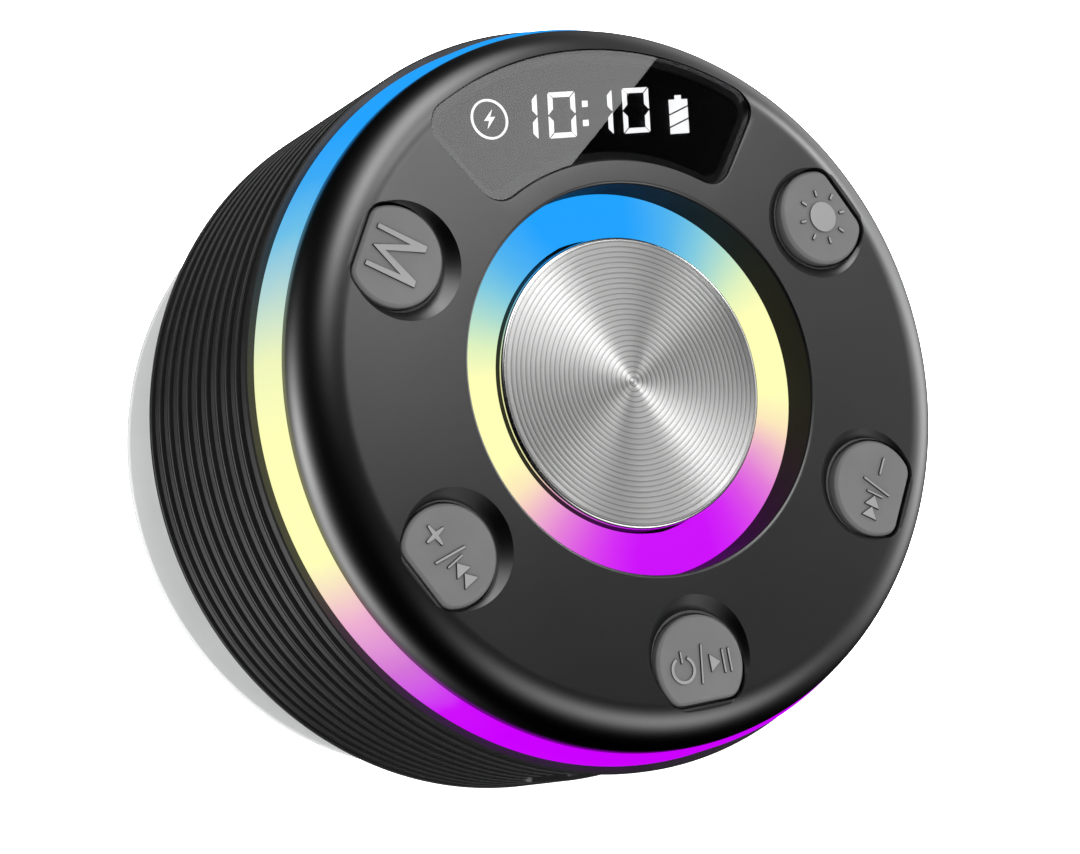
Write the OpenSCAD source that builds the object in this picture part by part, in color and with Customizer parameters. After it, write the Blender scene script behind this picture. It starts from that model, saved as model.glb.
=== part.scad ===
// Round splash-proof shower speaker on a suction cup.
// The wall is the plane y = 0, the device's axis runs along Y, the face looks towards -Y
// and the display is at the top (+Z). Every module draws with the axis along its own Z,
// measured outwards from the wall, and on_wall() stands it up.

/* [Body] */
// distance from the wall to the flat front face
face_z = 64; // [56:0.5:76]
// radius of the front bezel
bezel_r = 45; // [40:0.5:52]
// radius of the bezel's rounded rim
rim_r = 5.6; // [4:0.1:6]
// thickness of the bezel's face
face_t = 2; // [1.6:0.1:2.4]
// radius of the sleeve behind the light band
sleeve_r = 47.6; // [47.2:0.1:48.4]
// distance from the wall to the rear edge of the sleeve
sleeve_z = 19.4; // [18:0.1:21]
// number of grooves round the sleeve
groove_count = 10; // [8:1:12]
// distance between two grooves
groove_pitch = 3.2; // [2.6:0.1:3.4]
// width of a groove
groove_w = 1.3; // [1:0.1:1.6]
// depth of a groove
groove_d = 1.35; // [1:0.05:1.5]

/* [Light band] */
// front edge of the side light band
band_front_z = 57.6; // [57:0.1:58]
// rear edge of the side light band
band_rear_z = 52.2; // [51.8:0.1:54]
// outer radius of the band's front edge
band_r = 45.7; // [45.4:0.1:46]

/* [Speaker] */
// radius of the recess in the face
recess_r = 24.1; // [23.8:0.1:24.4]
// depth of the light ring below the face
ring_depth = 5.4; // [5:0.1:5.8]
// radius of the metal disc
disc_r = 18.2; // [17.6:0.1:18.4]
// depth of the metal disc below the face
disc_depth = 3.1; // [2.6:0.1:3.4]
// number of turned grooves in the metal disc
disc_grooves = 26; // [12:1:32]

/* [Display] */
// half of the window's angle
window_half = 35.8; // [30:0.2:37]
// inner radius of the window
window_in_r = 27.2; // [26.8:0.1:28]
// outer radius of the window
window_out_r = 41.2; // [40:0.1:41.4]
// depth of the window's glass below the face
window_depth = 0.4; // [0.2:0.05:0.6]
// height of the clock's digits
digit_h = 5.7; // [5:0.1:6.2]
// sideways lean of the digits for one unit of height
digit_lean = 0.15; // [0:0.01:0.2]

/* [Keys] */
// radius at which the round end of a key is centred
key_at_r = 35.3; // [35:0.1:35.6]
// radius of a key's round end
key_r = 6.1; // [5.8:0.1:6.2]
// distance from a key's centre to its flat side
key_flat = 4.45; // [4.2:0.05:4.7]
// radius of the corners at the flat side
key_corner_r = 2; // [1.6:0.1:2.4]
// clearance round a key in its hole
key_gap = 0.3; // [0.2:0.05:0.4]
// radius of the foot of the sunk bowl round a key
bowl_r = 6.4; // [6.2:0.05:6.6]
// tilt of the bowl, which makes it deepest towards the axis
bowl_tilt = 6; // [4:0.5:8]
// height of the raised symbols
symbol_t = 0.2; // [0.15:0.05:0.3]

/* [Port cover] */
// half width of the cover
cover_half = 10.6; // [9:0.1:12]
// distance from the wall to the cover's hinge line
cover_hinge_z = 37.6; // [37:0.1:39]
// radius of the hinge's bead
cover_bead_r = 0.9; // [0.8:0.05:1]

/* [Suction cup] */
// radius of the cup's rim
cup_r = 44; // [43:0.1:46]
// radius of the cup's hub
cup_hub_r = 13; // [11:0.5:15]
// height of the hollow under the cup at its centre
cup_hollow = 7.5; // [6:0.1:8]
// radius of the threaded stud
stud_r = 3; // [2.5:0.5:4]

/* [Hidden] */
$fn = 96;
eps = 0.01;
hole_fn = 32;
key_angle = [-60, 60, 120, 180, -120];
boss_angle = [-150, -90, -43, 43, 90, 150];
boss_at_r = 37.5;
boss_r = 2.2;
diagonals = [45, 135, 225, 315];
driver_screw_r = 26.8;
post_angle = [30, 150, 210, 330];
post_at_r = 33;
rear_boss_r = 39.8;
pilot_r = 0.85;
disc_z = face_z - disc_depth;
ring_z = face_z - ring_depth;
ring_in_r = disc_r + 0.45;
ring_top_z = disc_z - 0.8;
ring_out_r = 25.5;
plate_z = face_z - face_t;
window_z = face_z - window_depth;
window_t = 1.2;
board_z = 55.5;
board_t = 1.2;
switch_z = board_z + board_t;
mat_z = 59.9;
mat_t = 0.6;
flange_z = 60.95;
flange_t = 0.9;
housing_r = 44.2;
housing_in_r = 42.2;
baffle_z = 48;
baffle_top = 50;
basket_top = 51.5;
main_board_z = 40;
main_board_t = 1.6;
usb_z = main_board_z + main_board_t + 1.63;
usb_y = -34.6;
cover_z = 50.9;
cover_in_r = 44.5;
cover_out_r = 46.6;
hinge_y = -45.6;
plug_half_w = 5;
plug_half_h = 2.1;
plug_in_r = 42.8;
rear_z = 18.4;
rear_t = 2.2;
stud_head_z = 8.6;
cup_flat_r = 41.6;
GUNMETAL = [0.3, 0.3, 0.32];

// ---------------------------------------------------------------- helpers

// Turns a drawing whose axis is Z, seen from the front, to the wall's frame.
module on_wall() {
    rotate([90, 0, 0]) children();
}

// A square-section ring between two radii and two heights.
module ring(r1, r2, z1, z2) {
    rotate_extrude() translate([r1, z1]) square([r2 - r1, z2 - z1]);
}

// A round bar or hole between two heights.
module post(r, z1, z2) {
    translate([0, 0, z1]) cylinder(r = r, h = z2 - z1);
}

// An upright slab of a flat outline between two heights.
module slab(z1, z2) {
    translate([0, 0, z1]) linear_extrude(z2 - z1) children();
}

// Places its children at a clock angle, with +Y pointing away from the device's axis.
module at_clock(a, r = 0) {
    rotate([0, 0, -a]) translate([0, r, 0]) children();
}

// Repeats its children at each clock angle of a list.
module at_clocks(angles, r) {
    for (a = angles) at_clock(a, r) children();
}

// Points of an arc about (x, y).
function arc(x, y, r, a1, a2, n) = [
    for (i = [0:n]) [x + r * cos(a1 + (a2 - a1) * i / n), y + r * sin(a1 + (a2 - a1) * i / n)]
];

// A bar from one point to another with square ends.
module stroke(p, q, w) {
    along = q - p;
    length = norm(along);
    translate(p) rotate(atan2(along[1], along[0])) translate([0, -w / 2]) square([length, w]);
}

// A ring drawn flat.
module flat_ring(r, w) {
    difference() {
        circle(r);
        circle(r - w);
    }
}

// A plain cross-head screw whose head rests on z = 0 and whose shank runs down.
module screw(head_r, head_t, shank_r, length) {
    difference() {
        union() {
            cylinder(r = head_r, h = head_t);
            translate([0, 0, -length]) cylinder(r = shank_r, h = length + eps);
        }
        for (a = [0, 90]) rotate([0, 0, a]) translate([-head_r * 0.55, -0.2, head_t * 0.45])
            cube([head_r * 1.1, 0.4, head_t]);
    }
}

// ---------------------------------------------------------------- face

// The window's outline, a sector with rounded corners, grown by g.
module window_outline(g = 0) {
    corner = 3.2;
    reach = window_out_r * 1.3;
    offset(r = corner + g, $fn = 64) offset(delta = -corner) intersection() {
        difference() {
            circle(window_out_r, $fn = 256);
            circle(window_in_r, $fn = 256);
        }
        polygon([
            [0, 0],
            [-reach * sin(window_half), reach * cos(window_half)],
            [reach * sin(window_half), reach * cos(window_half)]
        ]);
    }
}

// A key's outline: a round end towards the axis and a flat side outwards, grown by g.
module key_outline(g = 0) {
    offset(r = key_corner_r + g, $fn = 72) intersection() {
        circle(key_r - key_corner_r, $fn = 72);
        translate([-key_r, -key_r]) square([2 * key_r, key_r + key_flat - key_corner_r]);
    }
}

// The bezel's section: a face plate, a rounded rim, an outer wall and the recess's wall.
module bezel_section() {
    rim_x = bezel_r - rim_r;
    rim_z = face_z - rim_r;
    lip = 0.35;
    difference() {
        polygon(concat(
            [[recess_r, ring_z + 0.1], [recess_r, face_z - lip], [recess_r + lip, face_z]],
            arc(rim_x, rim_z, rim_r, 90, 0, 14),
            [[bezel_r, band_front_z + 0.1]]
        ));
        polygon([
            [recess_r + 1.8, 0],
            [recess_r + 1.8, plate_z],
            [40.7, plate_z],
            [43.1, 59.6],
            [43.1, 0]
        ]);
    }
    // rib that presses on the seal
    translate([40.8, band_front_z]) square([1.4, 4.3]);
}

// The space of the bowl round a key: a tilted cone that runs out at the key's flat side.
module bowl() {
    rise = 2.4;
    foot_z = face_z - bowl_r * sin(bowl_tilt);
    translate([0, -0.35, foot_z]) rotate([bowl_tilt, 0, 0])
        cylinder(r1 = bowl_r, r2 = bowl_r + 1.1 * rise, h = rise);
}

module front_bezel() {
    color(GUNMETAL) on_wall() {
        difference() {
            rotate_extrude() bezel_section();
            slab(window_z - window_t, face_z + 1) window_outline(0.08);
            slab(plate_z - 1, face_z) window_outline(-1.2);
            at_clocks(key_angle, key_at_r) {
                slab(plate_z - 1, face_z + 1) key_outline(key_gap);
                bowl();
            }
        }
        at_clocks(boss_angle, boss_at_r) difference() {
            post(boss_r, baffle_top + 0.1, plate_z + 0.3);
            post(pilot_r, baffle_top, 59.5);
        }
    }
}

module display_window() {
    color([0.05, 0.05, 0.06]) on_wall() slab(window_z - window_t + 0.02, window_z) window_outline();
}

module display_block() {
    color([0.08, 0.08, 0.08]) on_wall()
        slab(switch_z + 0.05, window_z - window_t - 0.25) window_outline(-1.5);
}

// One lit stroke of a digit between two outer corners, with ends cut at 45 degrees.
module segment(p, q, w) {
    along = q - p;
    length = norm(along);
    split = 0.12;
    translate(p) rotate(atan2(along[1], along[0])) polygon([
        [split, 0],
        [length - split, 0],
        [length - w - split, -w],
        [w + split, -w]
    ]);
}

// The strokes of a digit that are lit, centred on its middle and drawn clockwise.
module digit(lit) {
    half_w = 1.9;
    half_h = digit_h / 2;
    corners = [
        [-half_w, half_h], [half_w, half_h], [half_w, 0],
        [half_w, -half_h], [-half_w, -half_h], [-half_w, 0]
    ];
    for (i = lit) segment(corners[i], corners[(i + 1) % 6], 0.62);
}

// Leans its children sideways about the digits' middle height.
module leaning(y) {
    shear = [[1, digit_lean, 0, 0], [0, 1, 0, 0], [0, 0, 1, 0], [0, 0, 0, 1]];
    translate([0, y]) multmatrix(shear) children();
}

// A lit shape just behind the window.
module lit_slab() {
    slab(window_z - window_t - 0.2, window_z - window_t - 0.05) children();
}

module clock_digits() {
    ones = [1, 2];
    zero = [0, 1, 2, 3, 4, 5];
    middle_y = 33.4;
    color([1, 1, 1]) on_wall() lit_slab() leaning(middle_y) {
        translate([-9.57, 0]) digit(ones);
        translate([-4.16, 0]) digit(zero);
        for (y = [-1.2, 1.2]) translate([-0.85, y]) square(0.75, center = true);
        translate([1.15, 0]) digit(ones);
        translate([6.52, 0]) digit(zero);
    }
}

module charge_icon() {
    color([1, 1, 1]) on_wall() lit_slab() translate([-14.3, 33.4]) {
        flat_ring(2.5, 0.27);
        polygon([[0.55, 1.15], [-0.75, -0.15], [-0.05, -0.15], [-0.45, -1.15], [0.8, 0.25], [0.1, 0.25]]);
    }
}

// A cell of three slanting bars under a terminal.
module battery_icon() {
    half_w = 1.36;
    height = 4.35;
    slope = 1;
    gap = 0.2;
    low = 0.75;
    middle = 2.35;
    color([1, 1, 1]) on_wall() lit_slab() leaning(30.1) translate([12.3, 0]) {
        polygon([[-half_w, 0], [half_w, 0], [half_w, low + slope], [-half_w, low]]);
        polygon([
            [-half_w, low + gap], [half_w, low + gap + slope],
            [half_w, middle + slope], [-half_w, middle]
        ]);
        polygon([
            [-half_w, middle + gap], [half_w, middle + gap + slope],
            [half_w, height], [-half_w, height]
        ]);
        translate([-0.45, height - eps]) square([0.9, 0.55]);
    }
}

// ---------------------------------------------------------------- keys

// A key cap with its sunk flange, its pusher and a raised symbol.
module key_cap(a) {
    bevel = 0.35;
    on_wall() at_clock(a, key_at_r) {
        slab(flange_z + flange_t - eps, face_z - bevel) key_outline();
        slab(face_z - bevel, face_z - bevel / 2) key_outline(-bevel / 2);
        slab(face_z - bevel / 2, face_z) key_outline(-bevel);
        intersection() {
            slab(flange_z, flange_z + flange_t) key_outline(0.95);
            translate([0, 40.5 - key_at_r - 20, 0]) cube([40, 40, 4 * face_z], center = true);
        }
        slab(face_z - eps, face_z + symbol_t) rotate(180) children();
    }
}

module mode_symbol() {
    w = 0.7;
    h = 3.35;
    x = 2.75;
    polygon([
        [-x, -h], [-x + w, -h], [-x + w, h - 1.7], [0, -h], [x - w, h - 1.7], [x - w, -h],
        [x, -h], [x, h], [x - 0.9, h], [0, -h + 1.65], [-x + 0.9, h], [-x, h]
    ]);
}

module light_symbol() {
    circle(1.95, $fn = 48);
    for (i = [0:7]) rotate(22.5 + i * 45) stroke([2.65, 0], [3.6, 0], 0.42);
}

module power_symbol() {
    w = 0.36;
    translate([-2.7, -0.2]) {
        difference() {
            flat_ring(1.7, w, $fn = 48);
            translate([-0.75, 0]) square([1.5, 3]);
        }
        stroke([0, 0.7], [0, 2.3], w);
    }
    stroke([-0.35, -2.3], [0.35, 2.5], w);
    polygon([[1.15, -1.2], [1.15, 1.2], [2.75, 0]]);
    for (x = [3.15, 4.05]) stroke([x, -1.5], [x, 1.5], w);
}

// Two triangles and a bar, pointing right.
module skip_symbol() {
    for (x = [0, 1.5]) translate([x, 0]) polygon([[0, -1.25], [0, 1.25], [1.6, 0]]);
    stroke([3.25, -1.3], [3.25, 1.3], 0.36);
}

module prev_symbol() {
    w = 0.4;
    translate([-3, 0]) {
        stroke([-1.45, 0], [1.45, 0], w);
        stroke([0, -1.45], [0, 1.45], w);
    }
    stroke([-0.55, -2.2], [0.35, 2.2], w);
    translate([4.1, 0]) mirror([1, 0]) skip_symbol();
}

module next_symbol() {
    w = 0.4;
    translate([-4.1, 0]) skip_symbol();
    stroke([-0.3, -2.2], [0.6, 2.2], w);
    stroke([1.75, 0], [4.2, 0], w);
}

module key_mode() {
    color(GUNMETAL) key_cap(key_angle[0]) mode_symbol();
}

module key_light() {
    color(GUNMETAL) key_cap(key_angle[1]) light_symbol();
}

module key_next() {
    color(GUNMETAL) key_cap(key_angle[2]) next_symbol();
}

module key_power() {
    color(GUNMETAL) key_cap(key_angle[3]) power_symbol();
}

module key_prev() {
    color(GUNMETAL) key_cap(key_angle[4]) prev_symbol();
}

// The silicone sheet that keeps water out behind the keys, with a pad and a pusher for each.
module keypad_mat() {
    color([0.12, 0.12, 0.13]) on_wall() {
        difference() {
            ring(27.2, 40.4, mat_z, mat_z + mat_t);
            slab(mat_z - 1, mat_z + 2) window_outline(0.6);
            at_clocks(boss_angle, boss_at_r) post(boss_r + 0.3, mat_z - 1, mat_z + 2);
        }
        at_clocks(key_angle, key_at_r) {
            post(4, mat_z + mat_t - eps, flange_z - 0.05);
            post(1.5, switch_z + 2.45, mat_z + eps);
        }
    }
}

module front_board() {
    color([0.05, 0.3, 0.12]) on_wall() difference() {
        ring(27, 40.2, board_z, board_z + board_t);
        at_clocks(boss_angle, boss_at_r) post(boss_r + 0.25, board_z - 1, board_z + board_t + 1);
    }
}

module key_switches() {
    side = 4.2;
    color([0.7, 0.7, 0.72]) on_wall() at_clocks(key_angle, key_at_r) {
        translate([-side / 2, -side / 2, switch_z]) cube([side, side, 1.9]);
        post(1.1, switch_z + 1.9 - eps, switch_z + 2.4);
    }
}

// ---------------------------------------------------------------- front light and driver

module light_ring() {
    color([1, 1, 0.75]) on_wall() rotate_extrude() polygon([
        [ring_in_r, ring_z - 1.4],
        [ring_in_r, ring_top_z - 0.2],
        [ring_in_r + 0.2, ring_top_z],
        [recess_r, ring_z],
        [ring_out_r, ring_z],
        [ring_out_r, ring_z - 1.4]
    ]);
}

module ring_carrier() {
    color([0.92, 0.92, 0.9]) on_wall() {
        ring(ring_out_r + 0.05, 26.6, 53.8, ring_z);
        ring(24.2, ring_out_r + 0.05 + eps, 53.8, 54.7);
    }
}

module ring_board() {
    color([0.9, 0.9, 0.88]) on_wall() ring(19.3, ring_out_r, 54.75, 55.55);
}

module ring_leds() {
    color([0.95, 0.95, 0.9]) on_wall() for (i = [0:11]) at_clock(15 + i * 30, 22.2)
        translate([-1, -1, 55.55]) cube([2, 2, 0.8]);
}

// The cone's upper surface, height over radius.
function cone_z(r) = 47.4 + (r - 8.2) * 0.42;

module metal_disc() {
    skirt = 0.8;
    pitch = (disc_r - 1.2) / disc_grooves;
    turned = [for (i = [0:2 * disc_grooves]) [i * pitch / 2, disc_z - (i % 2) * 0.1]];
    color([0.8, 0.8, 0.82]) on_wall() rotate_extrude() polygon(concat(
        turned,
        [
            [disc_r - 0.35, disc_z], [disc_r, disc_z - 0.35], [disc_r, 57.5], [disc_r - skirt, 57.5],
            [disc_r - skirt, disc_z - 1.1], [0, disc_z - 1.1]
        ]
    ));
}

module disc_carrier() {
    r1 = 12;
    r2 = 12.9;
    top = disc_z - 1.12;
    color([0.2, 0.2, 0.2]) on_wall() {
        rotate_extrude() polygon([
            [r1, cone_z(r1) + 0.02],
            [r2, cone_z(r2) + 0.02],
            [r2, top - 0.9],
            [16, top - 0.9],
            [16, top],
            [10, top],
            [10, top - 0.9],
            [r1, top - 0.9]
        ]);
    }
}

module speaker_cone() {
    t = 0.5;
    r1 = 8.2;
    r2 = 17;
    color([0.15, 0.15, 0.15]) on_wall() rotate_extrude() polygon([
        [r1, cone_z(r1)], [r2, cone_z(r2)], [18, cone_z(r2)],
        [18, cone_z(r2) - t], [r2, cone_z(r2) - t], [r1, cone_z(r1) - t]
    ]);
}

module coil_former() {
    color([0.55, 0.35, 0.15]) on_wall() ring(8.0, 8.18, 38.1, 48.2);
}

module voice_coil() {
    color([0.75, 0.4, 0.2]) on_wall() ring(8.2, 8.8, 38.4, 43.2);
}

// The rubber half roll between the cone and the basket.
module cone_surround() {
    roll_x = 20.3;
    roll_z = cone_z(17) + 0.35;
    color([0.08, 0.08, 0.08]) on_wall() {
        rotate_extrude() polygon(concat(
            [[17.1, roll_z - 0.33], [17.1, roll_z]],
            arc(roll_x, roll_z, 2.0, 180, 0, 10),
            [[24, basket_top + 0.45], [24, basket_top + 0.03], [22.6, basket_top + 0.03]],
            arc(roll_x, roll_z - 0.3, 1.7, 0, 180, 10)
        ));
    }
}

// The corrugated cloth disc that centres the coil.
module spider() {
    t = 0.3;
    waves = 4;
    base = 44.85;
    wave = [for (i = [0:2 * waves]) [9.6 + i * 1.05, base + (i % 2) * 0.7]];
    color([0.8, 0.65, 0.3]) on_wall() rotate_extrude() polygon(concat(
        [[8.22, base]], wave, [[21, base], [21, base - t]],
        [for (i = [2 * waves:-1:0]) wave[i] - [0, t]], [[8.22, base - t]]
    ));
}

module driver_basket() {
    color([0.35, 0.35, 0.37]) on_wall() difference() {
        rotate_extrude() polygon([
            [9.6, 42.05], [19.7, 42.05], [19.7, 43.7], [23.4, 43.7], [23.4, 50.5], [29, 50.5],
            [29, basket_top], [22.6, basket_top], [22.6, 44.5], [18.9, 44.5], [18.9, 42.85], [9.6, 42.85]
        ]);
        for (i = [0:5]) at_clock(30 + i * 60, 23) translate([-5, -2, 45.6]) cube([10, 4, 3.6]);
        at_clocks(diagonals, driver_screw_r) post(1.3, 50, 52);
    }
}

module top_plate() {
    color([0.75, 0.75, 0.72]) on_wall() ring(9.2, 17, 39.5, 42);
}

module ring_magnet() {
    color([0.15, 0.15, 0.16]) on_wall() ring(10.5, 18.5, 34.5, 39.45);
}

module yoke() {
    color([0.75, 0.75, 0.72]) on_wall() {
        rotate_extrude() polygon([
            [0, 32], [16.6, 32], [17, 32.4], [17, 34.45], [7.6, 34.45], [7.6, 42], [0, 42]
        ]);
    }
}

module driver_gasket() {
    color([0.05, 0.05, 0.05]) on_wall() difference() {
        ring(23.9, 29, baffle_top + 0.02, 50.48);
        at_clocks(diagonals, driver_screw_r) post(1.4, 49, 52);
    }
}

module driver_screws() {
    color([0.6, 0.6, 0.6]) on_wall() at_clocks(diagonals, driver_screw_r)
        translate([0, 0, basket_top + 0.01]) screw(2, 1.3, 0.8, 6, $fn = hole_fn);
}

// ---------------------------------------------------------------- side light and housing

module side_light_band() {
    flare = 0.6;
    e = 0.25;
    color([0.2, 0.65, 1]) on_wall() rotate_extrude() polygon([
        [44.5, band_rear_z], [band_r + flare - e, band_rear_z], [band_r + flare, band_rear_z + e],
        [band_r, band_front_z - e], [band_r - e, band_front_z], [44.5, band_front_z]
    ]);
}

module side_led_strip() {
    color([0.95, 0.95, 0.9]) on_wall() ring(42.25, 42.5, 52.4, 55.9);
}

module side_leds() {
    color([0.95, 0.95, 0.9]) on_wall() for (i = [0:17]) at_clock(10 + i * 20, 42.52)
        translate([-1, 0, 53.2]) cube([2, 1, 2]);
}

module front_seal() {
    color([0.1, 0.1, 0.1]) on_wall() rotate_extrude() translate([41.5, 56.8]) circle(0.75, $fn = 48);
}

// The opening for a charging plug, drawn across the housing's wall.
module port_tunnel(g) {
    translate([0, -housing_r, usb_z]) rotate([90, 0, 0]) linear_extrude(8, center = true)
        offset(r = g, $fn = 32)
            square([2 * plug_half_w - 1, 2 * plug_half_h - 1], center = true);
}

module main_housing() {
    color([0.1, 0.1, 0.11]) on_wall() {
        difference() {
            rotate_extrude() polygon([
                [housing_in_r, 22], [housing_r, 22], [housing_r, 52], [42.2, 52], [42.2, 56], [40.6, 56],
                [40.6, baffle_top], [23.7, baffle_top], [23.7, baffle_z], [housing_in_r, baffle_z]
            ]);
            at_clocks(boss_angle, boss_at_r) post(1.2, baffle_z - 1, baffle_top + 1);
            at_clocks(diagonals, driver_screw_r) post(pilot_r, baffle_z - 1, baffle_top + 1);
            port_tunnel(1.1);
        }
        at_clocks(diagonals, driver_screw_r) difference() {
            post(2, 45, baffle_z + eps);
            post(pilot_r, 44, baffle_z + 1);
        }
        // posts that carry the main board
        at_clocks(post_angle, post_at_r) difference() {
            post(2.4, main_board_z + main_board_t + 0.02, baffle_z + eps);
            post(pilot_r, main_board_z, 46.5);
        }
        // bosses for the rear cover's screws
        difference() {
            intersection() {
                at_clocks(diagonals, rear_boss_r) post(2.9, 22, 32);
                post(housing_r - 1, 20, 34);
            }
            at_clocks(diagonals, rear_boss_r) post(pilot_r, 20, 31);
        }
    }
}

// The smooth field round the port cover, as an outline seen from below: x, and z from the wall.
module field_outline(g = 0) {
    corner = 5;
    half = cover_half + 0.4 + g;
    low = cover_hinge_z - 1.6 - g;
    hull() {
        for (side = [-1, 1]) translate([side * (half - corner), low + corner]) circle(corner, $fn = 48);
        translate([-half, cover_z - 0.7]) square([2 * half, 1]);
    }
}

// Pushes an outline of x and z through the bottom of the body, between two depths.
module through_bottom(y1, y2) {
    translate([0, -y1, 0]) rotate([90, 0, 0]) linear_extrude(y2 - y1) children();
}

module sleeve_section() {
    polygon([
        [housing_r + 0.05, sleeve_z], [sleeve_r - 0.3, sleeve_z], [sleeve_r, sleeve_z + 0.3],
        [47.2, band_rear_z - 0.25], [47, band_rear_z - 0.05], [housing_r + 0.05, band_rear_z - 0.05]
    ]);
}

module groove_section() {
    first = 49.8;
    for (i = [0:groove_count - 1]) translate([sleeve_r - groove_d, first - i * groove_pitch - groove_w / 2])
        square([groove_d + 1, groove_w]);
}

module rib_sleeve() {
    color([0.13, 0.13, 0.14]) on_wall() difference() {
        union() {
            rotate_extrude() difference() {
                sleeve_section();
                groove_section();
            }
            intersection() {
                rotate_extrude() sleeve_section();
                through_bottom(30, 60) field_outline(1.9);
            }
        }
        through_bottom(30, 60) field_outline();
    }
}

module port_cover() {
    half = cover_half;
    corner = 4;
    color([0.09, 0.09, 0.1]) on_wall() {
        intersection() {
            ring(cover_in_r, cover_out_r, cover_hinge_z + 0.5, cover_z);
            through_bottom(30, 60) hull() {
                for (side = [-1, 1]) {
                    translate([side * (half - corner), cover_hinge_z + corner - 0.6])
                        circle(corner, $fn = 48);
                    translate([side * (half - 1), cover_z - 1]) circle(1, $fn = 24);
                }
            }
        }
        // bead that the cover turns on
        translate([-6, hinge_y, cover_hinge_z]) rotate([0, 90, 0]) cylinder(r = cover_bead_r, h = 12);
        translate([-6, hinge_y - 0.5, cover_hinge_z]) cube([12, 1.1, 1.2]);
        // plug that closes the opening
        translate([0, -plug_in_r, usb_z]) rotate([90, 0, 0]) linear_extrude(cover_in_r - plug_in_r + 0.6)
            offset(r = 0.5, $fn = 32) square([2 * plug_half_w - 1, 2 * plug_half_h - 1], center = true);
        // finger lip at the front edge
        translate([-3.5, -cover_out_r - 0.25, cover_z - 1.1]) cube([7, 1.2, 1.1]);
    }
}

// ---------------------------------------------------------------- electronics

module usb_outline(g) {
    offset(r = 1.2 + g, $fn = 32) square([8.94 - 2.4, 3.16 - 2.4], center = true);
}

module usb_socket() {
    depth = 7.3;
    color([0.78, 0.78, 0.8]) on_wall() translate([0, usb_y, usb_z]) rotate([90, 0, 0]) difference() {
        linear_extrude(depth) usb_outline(0);
        translate([0, 0, 0.8]) linear_extrude(depth) usb_outline(-0.3);
    }
}

module usb_tongue() {
    color([0.1, 0.1, 0.1]) on_wall() translate([-3.2, usb_y - 6.4, usb_z - 0.35]) cube([6.4, 5.58, 0.7]);
}

module main_board() {
    color([0.05, 0.3, 0.12]) on_wall() difference() {
        ring(24.2, 41.6, main_board_z, main_board_z + main_board_t);
        at_clocks(post_angle, post_at_r) post(1.1, main_board_z - 1, main_board_z + 4);
    }
}

module board_chips() {
    top = main_board_z + main_board_t;
    color([0.08, 0.08, 0.09]) on_wall() {
        at_clock(90, 32) translate([-3.5, -3.5, top]) cube([7, 7, 0.9]);
        at_clock(270, 33) translate([-2.5, -2.5, top]) cube([5, 5, 0.9]);
        at_clock(110, 34) translate([-1.6, -1.3, top]) cube([3.2, 2.6, 0.8]);
        at_clock(60, 32) post(2.5, top, top + 5.4);
        at_clock(255, 33) translate([-2, -2, top]) cube([4, 4, 2]);
        at_clock(0, 33) translate([-6, -2, top]) cube([12, 4, 1.4]);
    }
}

module board_screws() {
    color([0.6, 0.6, 0.6]) on_wall() at_clocks(post_angle, post_at_r)
        translate([0, 0, main_board_z - 0.01]) mirror([0, 0, 1]) screw(1.9, 1.2, 0.8, 5.5, $fn = hole_fn);
}

module battery_cell() {
    half = [26, 17];
    color([0.75, 0.77, 0.8]) on_wall() slab(23.2, 30.6) offset(r = 2, $fn = 32)
        square([2 * half[0] - 4, 2 * half[1] - 4], center = true);
}

module battery_pads() {
    color([0.15, 0.15, 0.15]) on_wall() {
        for (x = [-24, 12]) translate([x, -14, rear_z + rear_t]) cube([12, 28, 2.58]);
    }
}

module bezel_screws() {
    color([0.6, 0.6, 0.6]) on_wall() at_clocks(boss_angle, boss_at_r)
        translate([0, 0, baffle_z - 0.01]) mirror([0, 0, 1]) screw(1.9, 1.3, 0.8, 9.5, $fn = hole_fn);
}

// ---------------------------------------------------------------- rear and suction cup

module rear_cover() {
    top = rear_z + rear_t;
    color([0.1, 0.1, 0.11]) on_wall() difference() {
        rotate_extrude() polygon([
            [0, 16.9], [9.5, 16.9], [9.9, 17.3], [9.9, rear_z], [43, rear_z], [44, rear_z + 0.9],
            [44, top], [7.5, top], [7.5, 22.6], [0, 22.6]
        ]);
        post(4.55, 16, 22);
        at_clocks(diagonals, rear_boss_r) {
            post(1.2, 17, 22);
            post(2.2, 17, rear_z + 1.3);
        }
    }
}

module rear_seal() {
    color([0.1, 0.1, 0.1]) on_wall() ring(42.8, 43.9, rear_z + rear_t + 0.02, 21.98);
}

module rear_screws() {
    color([0.6, 0.6, 0.6]) on_wall() at_clocks(diagonals, rear_boss_r)
        translate([0, 0, rear_z + 1.29]) mirror([0, 0, 1]) screw(2, 1.2, 0.8, 9, $fn = hole_fn);
}

module cup_insert() {
    color([0.8, 0.65, 0.3]) on_wall() ring(stud_r + 0.05, 4.5, 16.95, 21.9);
}

module cup_stud() {
    color([0.75, 0.75, 0.76]) on_wall() {
        post(9, stud_head_z, stud_head_z + 2);
        post(stud_r, stud_head_z + 1, 21.4);
    }
}

// Height of the cup's hollow over radius, from the rim's flat to the centre.
function hollow_z(r) = cup_hollow * (1 - pow(r / cup_flat_r, 2));

// Height of the cup's back over radius.
function back_z(r) = hollow_z(r) + 1.5 + 2.6 * pow((cup_r - r) / (cup_r - cup_hub_r), 1.5);

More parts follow.
